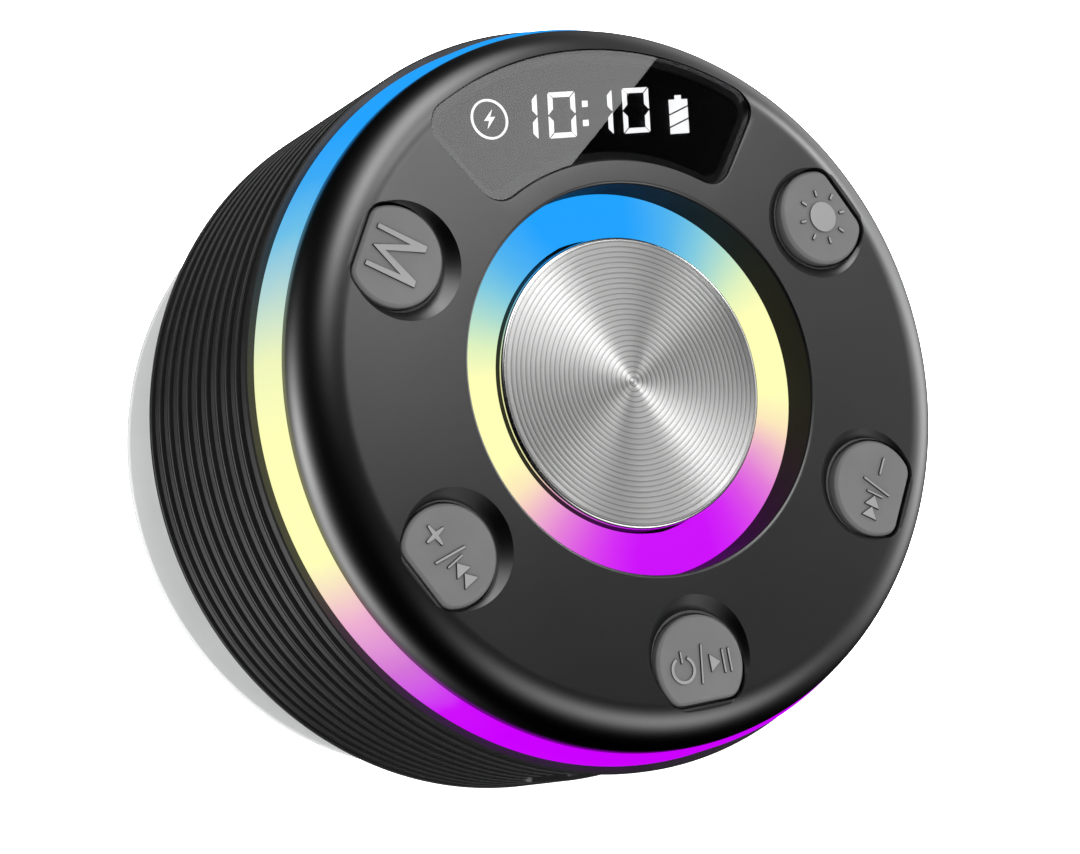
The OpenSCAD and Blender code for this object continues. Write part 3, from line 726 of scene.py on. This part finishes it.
def make_bezel(materials):
    """Face with a rounded rim, the recess for the driver, the window's seat and the key wells."""
    lip = 0.4
    rim_x = BEZEL_R - RIM_R
    rim_z = FACE_Z - RIM_R
    foot = 0.15
    base_z = BAND_FRONT_Z + 0.1
    foot_z = RING_Z + 0.1
    plate_z = FACE_Z - FACE_T
    skirt_in_r = BEZEL_R - 1.9
    shoulder_r = BEZEL_R - 4.3
    shoulder_z = 59.6
    collar_r = RECESS_R + 1.8
    profile = [(RECESS_R, foot_z)]
    profile += arc(RECESS_R + lip, FACE_Z - lip, lip, 180, 90, 5)
    profile += arc(rim_x, rim_z, RIM_R, 90, 0, 26)
    profile += arc(BEZEL_R - foot, base_z + foot, foot, 0, -90, 3)
    profile += [(skirt_in_r, base_z), (skirt_in_r, shoulder_z), (shoulder_r, plate_z)]
    profile += [(collar_r, plate_z), (collar_r, foot_z)]
    bm = bmesh.new()
    lathe(bm, profile)
    bezel = as_object("bezel", bm)

    seat = bmesh.new()
    levels = [(WINDOW_REAR_Z - 0.02, 0.08), (FACE_Z - 0.16, 0.08)]
    levels += [(FACE_Z - 0.05, 0.13), (FACE_Z + 0.03, 0.27)]
    stack(seat, window_outline, levels)
    boolean(bezel, as_object("seat", seat))
    hole = bmesh.new()
    stack(hole, window_outline, [(FACE_Z - 3, -1.2), (FACE_Z, -1.2)])
    boolean(bezel, as_object("hole", hole))

    bowls = bmesh.new()
    for angle in KEY_CLOCK.values():
        drawn(at_clock(angle, KEY_AT_R), draw_bowl, bowls)
    boolean(bezel, as_object("bowls", bowls))
    wells = bmesh.new()
    well = [(FACE_Z - 4, KEY_GAP), (FACE_Z - 0.3, KEY_GAP), (FACE_Z + 0.3, KEY_GAP + 0.25)]
    for angle in KEY_CLOCK.values():
        drawn(at_clock(angle, KEY_AT_R), lambda b: stack(b, key_outline, well), wells)
    boolean(bezel, as_object("wells", wells))
    even_normals(bezel)
    as_piece(bezel, "speaker", "bezel", materials, "front_bezel")
    # faces on the recess wall take material 1, near-black and barely glossy: painted shade in the recess
    for polygon in bezel.data.polygons:
        at = polygon.center
        on_wall = math.hypot(at.x, at.z) < (RECESS_R + 0.05) * MM
        polygon.material_index = 1 if on_wall else 0


def draw_bowl(bm):
    """The space of the bowl round a key: a tilted cone, deepest towards the axis."""
    rise = 2.4
    levels = [(0.0, BOWL_R), (rise, BOWL_R + 1.1 * rise)]
    lean = Matrix.Rotation(math.radians(BOWL_TILT), 4, "X")
    foot = Matrix.Translation((0, -0.35, FACE_Z - BOWL_R * math.sin(math.radians(BOWL_TILT))))
    drawn(foot @ lean, lambda b: circles(b, levels, 144), bm)


def make_key(name, materials):
    """A cap with rounded edges on its flange, and the raised symbol."""
    flange_top = FLANGE_Z + FLANGE_T
    flange = [(FLANGE_Z, 0.85), (FLANGE_Z + 0.1, 0.95), (flange_top, 0.95)]
    wall = [(flange_top - 0.05, 0.0), (FACE_Z - 0.42, 0.0)]
    chamfer = [(FACE_Z - 0.35, -0.03), (FACE_Z - 0.05, -0.33), (FACE_Z - 0.01, -0.39), (FACE_Z, -0.45)]

    def draw(bm):
        stack(bm, flange_outline, flange)
        stack(bm, key_outline, wall + chamfer)
        upside_down = Matrix.Rotation(math.pi, 4, "Z")
        drawn(upside_down, draw_symbol, bm)

    def draw_symbol(bm):
        for shape in SYMBOLS[name]():
            # the symbol's sides and bevels take material 2, near-black: painted shade round each raised
            # symbol
            slab(bm, shape, FACE_Z - 0.05, FACE_Z + SYMBOL_T, 0.07, 1, 2)

    bm = bmesh.new()
    drawn(at_clock(KEY_CLOCK[name], KEY_AT_R), draw, bm)
    key = as_object(name + "_cap", bm, 40)
    even_normals(key, 40)
    as_piece(key, name + "_key", "keys", materials, "key_" + name)


def make_window(materials):
    """A pane with a small polished edge."""
    z = WINDOW_Z
    bm = bmesh.new()
    stack(bm, window_outline, [(WINDOW_REAR_Z, 0.0), (z - 0.12, 0.0), (z - 0.04, -0.03), (z, -0.12)])
    window = as_object("window", bm)
    even_normals(window)
    as_piece(window, "speaker", "window", materials, "display_window")


def make_light_ring(materials):
    """A diffuser that slopes from the disc's edge down to the foot of the recess."""
    lip = 0.25
    lip_z = RING_TOP_Z + 0.35
    profile = [(RING_IN_R, RING_REAR_Z)]
    profile += arc(RING_IN_R + lip, lip_z - lip, lip, 180, 74, 5)
    profile += [(RECESS_R, RING_Z), (RING_OUT_R, RING_Z), (RING_OUT_R, RING_REAR_Z)]
    bm = bmesh.new()
    lathe(bm, profile)
    ring = as_object("face_light", bm)
    even_normals(ring)
    as_piece(ring, "speaker", "light_guide", materials, "light_ring")


def make_band(materials):
    """The lit band round the side, flared towards the sleeve, with rounded edges."""
    edge = 0.3
    corners = [
        (BAND_IN_R, BAND_REAR_Z, 0),
        (BAND_R + BAND_FLARE, BAND_REAR_Z, edge),
        (BAND_R + BAND_FLARE * 0.5, (BAND_REAR_Z + BAND_FRONT_Z) / 2, 0),
        (BAND_R, BAND_FRONT_Z, edge),
        (BAND_IN_R, BAND_FRONT_Z, 0),
    ]
    bm = bmesh.new()
    lathe(bm, rounded(corners))
    band = as_object("side_light", bm)
    even_normals(band)
    as_piece(band, "speaker", "band_guide", materials, "side_light_band")


def make_disc(materials):
    """Turned face with shallow concentric grooves, a rounded edge and a short skirt."""
    plate_z = DISC_Z - 1.1
    skirt_z = 57.5
    skirt_in_r = DISC_R - 0.8
    edge = 0.45
    profile = [(0.0, plate_z), (0.0, DISC_Z)]
    for i in range(1, DISC_GROOVES + 1):
        r = i * DISC_PITCH
        bottom = r - DISC_PITCH * DISC_GROOVE_SHARE / 2
        profile += [(2 * bottom - r, DISC_Z), (bottom, DISC_Z - 0.016), (r, DISC_Z)]
    profile += arc(DISC_R - edge, DISC_Z - edge, edge, 90, 0, 6)
    profile += [(DISC_R, skirt_z), (skirt_in_r, skirt_z), (skirt_in_r, plate_z)]
    bm = bmesh.new()
    lathe(bm, profile)
    # faces below the rounded edge take material 1, a near-black matt standing in as painted shade on the
    # disc's side wall and skirt; the rounded edge takes material 2
    for face in bm.faces:
        middle = face.calc_center_median()
        if middle.z < DISC_Z - edge:
            face.material_index = 1
        elif middle.xy.length > DISC_R - edge:
            face.material_index = 2
    disc = as_object("driver_disc", bm, 60)
    as_piece(disc, "diaphragm", "turned_metal", materials, "metal_disc")


def sleeve_corners():
    """The sleeve's plain section, from its rear to its front."""
    return [
        (SLEEVE_IN_R, SLEEVE_Z, 0),
        (SLEEVE_R, SLEEVE_Z, 0.35),
        (SLEEVE_FRONT_R, SLEEVE_FRONT_Z - 0.2, 0),
        (SLEEVE_FRONT_R - 0.2, SLEEVE_FRONT_Z, 0),
        (SLEEVE_IN_R, SLEEVE_FRONT_Z, 0),
    ]


def sleeve_r(z):
    """Outer radius of the sleeve over height."""
    t = (z - SLEEVE_Z) / (SLEEVE_FRONT_Z - SLEEVE_Z)
    return SLEEVE_R + (SLEEVE_FRONT_R - SLEEVE_R) * t


def draw_ribbed(bm):
    """The sleeve's section with its grooves, every land's edges rounded."""
    bottom = SLEEVE_R - GROOVE_D
    corners = sleeve_corners()[:2]
    for i in reversed(range(GROOVE_COUNT)):
        low = GROOVE_FIRST_Z - i * GROOVE_PITCH - GROOVE_W / 2
        high = low + GROOVE_W
        top = sleeve_r(low)
        # a fine notch leaves a bead along the land's front edge
        corners += [(top, low - 0.62, 0.04), (top - 0.2, low - 0.54, 0.04)]
        corners += [(top - 0.2, low - 0.42, 0.04), (top, low - 0.36, 0.1), (top, low, 0.12)]
        corners += [(bottom, low, 0.2), (bottom, high, 0.2), (sleeve_r(high), high, 0.28)]
    corners += sleeve_corners()[2:]
    lathe(bm, rounded(corners))


def field_outline(grow=0.0):
    """The pocket round the port cover, as x and height above the wall; grown, it is the smooth field."""
    corner = 5.0
    half = COVER_HALF + 0.4 + grow
    low = COVER_HINGE_Z - 1.6 - grow
    top = COVER_TOP_Z + 0.3
    left = arc(-half + corner, low + corner, corner, 180, 270, 10)
    right = arc(half - corner, low + corner, corner, 270, 360, 10)
    return left + right + [(half, top), (-half, top)]


def field_prism(name, grow):
    """The field's outline pushed through the sleeve's bottom."""
    bm = bmesh.new()
    loft(bm, [[(x, y, z) for x, z in field_outline(grow)] for y in (-60, -30)])
    return as_object(name, bm)


def make_sleeve(materials):
    """Ribbed sleeve with a smooth field at the bottom and the port cover's pocket in it."""
    bm = bmesh.new()
    draw_ribbed(bm)
    sleeve = as_object("ribs", bm)
    bm = bmesh.new()
    lathe(bm, rounded(sleeve_corners()))
    field = as_object("field", bm)
    boolean(field, field_prism("border", 1.9), "INTERSECT")
    boolean(sleeve, field, "UNION")
    boolean(sleeve, field_prism("pocket", 0.0))
    even_normals(sleeve, 40)
    as_piece(sleeve, "speaker", "silicone", materials, "rib_sleeve")


def hollow_z(r):
    """Height of the cup's hollow over radius."""
    return CUP_HOLLOW * (1 - (r / CUP_FLAT_R) ** 2)


def back_z(r):
    """Height of the cup's back over radius."""
    return hollow_z(r) + 1.5 + 2.6 * ((CUP_R - r) / (CUP_R - CUP_HUB_R)) ** 1.5


def make_cup(materials):
    """Milky cup with a thin rim, three sealing grooves under it and a hub with a fillet."""
    steps = 40
    edge = 0.3
    seal_d = 0.35
    gap = 0.02
    profile = [(0.0, hollow_z(0))]
    for i in range(1, steps):
        r = CUP_FLAT_R * i / steps
        seal = seal_d if i >= steps - 6 and i % 2 else 0.0
        profile.append((r, hollow_z(r) + seal))
    profile += [(CUP_FLAT_R, 0.0), (CUP_R - edge, 0.0)]
    profile += arc(CUP_R - edge, edge, edge, -60, 0, 3)
    profile += arc(CUP_R - edge, 0.95, edge, 0, 80, 4)
    for i in range(steps, -1, -1):
        r = CUP_HUB_R + (CUP_FLAT_R - CUP_HUB_R) * i / steps
        profile.append((r, back_z(r)))
    profile += [(CUP_HUB_R - 0.75, CUP_HUB_Z - 1.6), (CUP_HUB_R - 1.0, CUP_HUB_Z - 0.6)]
    profile += [(CUP_HUB_R - 1.15, CUP_HUB_Z - 0.2), (CUP_HUB_R - 1.6, CUP_HUB_Z)]
    head_top = STUD_HEAD_Z + STUD_HEAD_T + gap
    profile += [(STUD_R + gap, CUP_HUB_Z), (STUD_R + gap, head_top)]
    profile += [(STUD_HEAD_R + gap, head_top), (STUD_HEAD_R + gap, STUD_HEAD_Z - gap)]
    profile += [(0.0, STUD_HEAD_Z - gap)]
    bm = bmesh.new()
    lathe(bm, profile)
    # faces of the hollow take material 1, the darker copy of the silicone: painted shade
    for face in bm.faces:
        middle = face.calc_center_median()
        if middle.z < hollow_z(min(middle.xy.length, CUP_FLAT_R)) + 0.3:
            face.material_index = 1
    cup = as_object("cup", bm)
    as_piece(cup, "speaker", "cup", materials, "suction_cup")


def make_rear(materials):
    """Rear cover with its centre boss and four countersunk screw wells."""
    edge = 0.25
    bore_r = 4.55
    boss_r = 9.9
    boss_z = REAR_Z - 1.5
    pocket_r = 7.5
    pocket_floor = 22.0
    pocket_top = 22.6
    corners = [
        (bore_r, boss_z, 0.2),
        (boss_r, boss_z, 0.4),
        (boss_r, REAR_Z, 0.3),
        (REAR_R - 1, REAR_Z, edge),
        (REAR_R, REAR_Z + 0.9, edge),
        (REAR_R, REAR_TOP_Z, 0),
        (pocket_r, REAR_TOP_Z, 0),
        (pocket_r, pocket_top, edge),
        (0.0, pocket_top, 0),
        (0.0, pocket_floor, 0),
        (bore_r, pocket_floor, 0),
    ]
    bm = bmesh.new()
    lathe(bm, rounded(corners))
    rear = as_object("rear_lid", bm)
    head_r = 2.2
    head_z = REAR_Z + 1.3
    shank_r = 1.2
    levels = [(REAR_Z - 1, head_r + 0.1), (REAR_Z + 0.1, head_r + 0.1), (REAR_Z + 0.25, head_r)]
    levels += [(head_z, head_r), (head_z, shank_r), (pocket_floor + 0.5, shank_r)]
    wells = bmesh.new()
    for angle in DIAGONALS:
        drawn(at_clock(angle, REAR_SCREW_R), lambda b: circles(b, levels, 48), wells)
    boolean(rear, as_object("wells", wells))
    even_normals(rear)
    as_piece(rear, "speaker", "housing", materials, "rear_cover")


# ---------------------------------------------------------------- carried-over CAD nodes


def finish_node(name, material, edge_mm=0.0):
    """Gives a CAD node its material and, if it is crisp, small rounded edges."""
    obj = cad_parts[name]
    obj.data.materials.clear()
    obj.data.materials.append(material)
    for polygon in obj.data.polygons:
        polygon.material_index = 0
    if edge_mm:
        modifier = obj.modifiers.new("edges", "BEVEL")
        modifier.width = edge_mm * MM
        modifier.segments = 2
        modifier.limit_method = "ANGLE"
        modifier.angle_limit = math.radians(50)


def dress():
    """Makes the pieces and gives every CAD node that stays its material."""
    bezel = bezel_material()
    key = key_material()
    symbol = symbol_material()
    # near-black sides of the raised symbols: painted shade
    symbol_side_shade = moulded("symbol_side_shade", grey(0.012), 0.6, 0.15, 0.004)
    black = moulded("black_abs", grey(0.03), 0.5, 0.35, 0.015)
    # the recess wall's material is near-black with almost no gloss: painted shade
    make_bezel([bezel, moulded("recess_shade", grey(0.008), 0.5, 0.3, 0.004, Specular_IOR_Level=0.05)])
    for name in KEY_CLOCK:
        make_key(name, [key, symbol, symbol_side_shade])
    make_window([glass_material()])
    make_light_ring([light_material("face_glow", RING_STOPS)])
    # the bezel covers the band inwards of this radius
    covered_r = BAND_R - 0.9
    make_band([light_material("side_glow", BAND_STOPS, covered_r)])
    # near-black matt for the disc's side wall and skirt: painted shade
    disc_side_shade = moulded("disc_side_shade", grey(0.006), 0.4, 0.3, 0.004, Specular_IOR_Level=0.1)
    disc_rim = metal("disc_rim", grey(0.9), 0.16, 0.3, depth_mm=0.001)
    make_disc([disc_material(), disc_side_shade, disc_rim])
    make_sleeve([sleeve_material()])
    make_cup([cup_material(), shaded_cup_face_material()])
    make_rear([black])

    white_light = lit_material("display_glow", (1.0, 1.0, 1.0, 1.0), 3.6)
    mask = moulded("display_mask", grey(0.006), 0.6, 0.5, 0.004, Specular_IOR_Level=0.1)
    silicone = moulded("black_silicone", grey(0.03), 0.6, 0.4, 0.01)
    board = board_material("green_board", (0.01, 0.12, 0.04, 1.0))
    white_board = board_material("white_board", (0.6, 0.6, 0.57, 1.0))
    white = moulded("white_plastic", grey(0.7), 0.45)
    diode = moulded("diode_resin", (0.75, 0.7, 0.35, 1.0), 0.3, 0.4, 0.01)
    cone = cloth_material("cone_paper", grey(0.05), 0.4)
    former = cloth_material("coil_former", (0.35, 0.14, 0.05, 1.0), 0.5)
    spider = cloth_material("spider_cloth", (0.6, 0.4, 0.12, 1.0), 0.3)
    foam = cloth_material("black_foam", grey(0.03), 0.3)
    steel = metal("pressed_steel", grey(0.3), 0.42)
    zinc = metal("zinc_plate", grey(0.6, (1.0, 0.99, 0.93)), 0.3)
    screw = metal("screw_steel", grey(0.55), 0.25, 0.2)
    ferrite = moulded("ferrite", grey(0.06), 0.55, 0.3, 0.02)
    chip = moulded("chip_resin", grey(0.025), 0.45, 0.1, 0.006)
    wrap = moulded("battery_wrap", (0.35, 0.4, 0.5, 1.0), 0.3, 6.0, 0.05, Coat_Weight=0.4)
    brass = metal("brass", (0.8, 0.58, 0.25, 1.0), 0.28)
    cover = moulded("cover_rubber", grey(0.035), 0.5, 0.3, 0.01)
    groups = [
        (white_light, 0.0, ["clock_digits", "charge_icon", "battery_icon"]),
        (mask, 0.1, ["display_block"]),
        (silicone, 0.0, ["keypad_mat", "cone_surround", "front_seal", "rear_seal"]),
        (board, 0.0, ["front_board", "main_board"]),
        (white_board, 0.0, ["ring_board", "side_led_strip"]),
        (white, 0.1, ["ring_carrier"]),
        (diode, 0.05, ["ring_leds", "side_leds"]),
        (cone, 0.0, ["speaker_cone"]),
        (former, 0.0, ["coil_former"]),
        (wound_material(), 0.0, ["voice_coil"]),
        (spider, 0.0, ["spider"]),
        (foam, 0.0, ["driver_gasket", "battery_pads"]),
        (steel, 0.0, ["driver_basket"]),
        (zinc, 0.1, ["top_plate", "yoke"]),
        (screw, 0.05, ["driver_screws", "board_screws", "bezel_screws", "rear_screws", "key_switches"]),
        (screw, 0.0, ["usb_socket", "cup_stud"]),
        (ferrite, 0.1, ["ring_magnet"]),
        (black, 0.0, ["main_housing", "disc_carrier", "usb_tongue"]),
        (chip, 0.05, ["board_chips"]),
        (wrap, 0.0, ["battery_cell"]),
        (brass, 0.0, ["cup_insert"]),
        (cover, 0.15, ["port_cover"]),
    ]
    for material, edge, names in groups:
        for name in names:
            finish_node(name, material, edge)


# ---------------------------------------------------------------- stage


def make_camera():
    """A long lens in front of the speaker, low and to its left."""
    data = bpy.data.cameras.new("camera")
    data.lens = 81.9
    data.sensor_width = 36.0
    data.sensor_fit = "HORIZONTAL"
    data.clip_start = 0.01
    camera = bpy.data.objects.new("camera", data)
    bpy.context.scene.collection.objects.link(camera)
    right = Vector((0.8632, -0.4709, -0.1819))
    up = Vector((0.1150, -0.1674, 0.9792))
    back = -Vector((0.4915, 0.8662, 0.0903))
    camera.matrix_world = Matrix((
        (right.x, up.x, back.x, -0.15818),
        (right.y, up.y, back.y, -0.31474),
        (right.z, up.z, back.z, -0.03047),
        (0, 0, 0, 1),
    ))
    bpy.context.scene.camera = camera


def direction(azimuth, elevation):
    """Unit vector towards a place in the room; azimuth 0 is straight in front of the face."""
    a = math.radians(azimuth)
    e = math.radians(elevation)
    return (math.sin(a) * math.cos(e), -math.cos(a) * math.cos(e), math.sin(e))


# soft lights of the studio as (azimuth, elevation, half width in degrees, brightness)
GLOWS = [
    (85, 0, 16, 3.2),
    (0, 60, 14, 3.2),
    (-20, 40, 12, 3.0),
    (40, -40, 12, 2.3),
    (70, 10, 8, 1.7),
    (50, 5, 7, 0.9),
    (61, 22, 5, 9.0),
    (14, 32, 5, 5.0),
    (10, -40, 12, 1.4),
    (110, 30, 16, 0.9),
    (85, 30, 16, 0.5),
    (-120, 2, 13, 5.0),
    (-135, -24, 14, 3.0),
]
# brightness of the room that matt surfaces see
FILL = 0.85


def make_world():
    """A studio that is white to the camera and lights the speaker with a few soft glows."""
    world = bpy.data.worlds.new("studio")
    bpy.context.scene.world = world
    world.use_nodes = True
    towards = add(world, "TexCoord").outputs["Generated"]
    towards = add(world, "VectorMath", {"operation": "NORMALIZE"}, _0=towards).outputs[0]
    total = None
    for azimuth, elevation, width, brightness in GLOWS:
        dot = add(world, "VectorMath", {"operation": "DOT_PRODUCT"}, _0=towards)
        dot.inputs[1].default_value = direction(azimuth, elevation)
        sharpness = math.log(2) / (1 - math.cos(math.radians(width)))
        past = math_node(world, "SUBTRACT", dot.outputs["Value"], 1.0)
        power = math_node(world, "MULTIPLY", past, sharpness)
        glow = math_node(world, "MULTIPLY", math_node(world, "EXPONENT", power), brightness)
        total = glow if total is None else math_node(world, "ADD", total, glow)
    path = add(world, "LightPath").outputs
    for ray, brightness in (("Is Camera Ray", 4.0), ("Is Diffuse Ray", FILL)):
        total = math_node(world, "MAXIMUM", total, math_node(world, "MULTIPLY", path[ray], brightness))
    background = world.node_tree.nodes["Background"]
    background.inputs["Color"].default_value = (1.0, 1.0, 1.0, 1.0)
    world.node_tree.links.new(total, background.inputs["Strength"])


def stage_material(name, colour, strength):
    """A matt white light of this strength over a base colour."""
    light = {"Emission_Strength": strength, "Emission_Color": (1, 1, 1, 1)}
    return new_material(name, Roughness=0.6, Base_Color=colour, **light)


def make_floor():
    """A pale floor a little below the speaker."""
    bm = bmesh.new()
    bmesh.ops.create_circle(bm, segments=96, radius=0.45, cap_ends=True)
    mesh = bpy.data.meshes.new("floor")
    bm.to_mesh(mesh)
    bm.free()
    floor = bpy.data.objects.new("floor", mesh)
    floor.location.z = cad_box[0].z - 0.006
    bpy.context.scene.collection.objects.link(floor)
    mesh.materials.append(stage_material("pale_floor", grey(0.85), 0.85))
    floor.visible_glossy = False


def make_card():
    """A light card whose slanting edge shows in the window."""
    points = [(0.25, 0.12), (0.391, 0.12), (0.722, 0.40), (0.25, 0.40)]
    mesh = bpy.data.meshes.new("card")
    mesh.from_pydata([(x, -0.9, z) for x, z in points], [], [(0, 1, 2, 3)])
    card = bpy.data.objects.new("card", mesh)
    bpy.context.scene.collection.objects.link(card)
    mesh.materials.append(stage_material("card_light", grey(0.8), 1.8))
    card.visible_camera = False
    card.visible_shadow = False


def make_softbox():
    """A weak round light above the speaker, a metre away."""
    data = bpy.data.lights.new("softbox", "AREA")
    data.shape = "DISK"
    data.size = 0.5
    data.energy = 0.5
    light = bpy.data.objects.new("softbox", data)
    away = Vector(direction(20, 70))
    light.location = away
    light.rotation_mode = "QUATERNION"
    light.rotation_quaternion = away.to_track_quat("Z", "Y")
    bpy.context.scene.collection.objects.link(light)


dress()
make_camera()
make_world()
make_floor()
make_card()
make_softbox()
bpy.context.scene.view_settings.view_transform = "Standard"
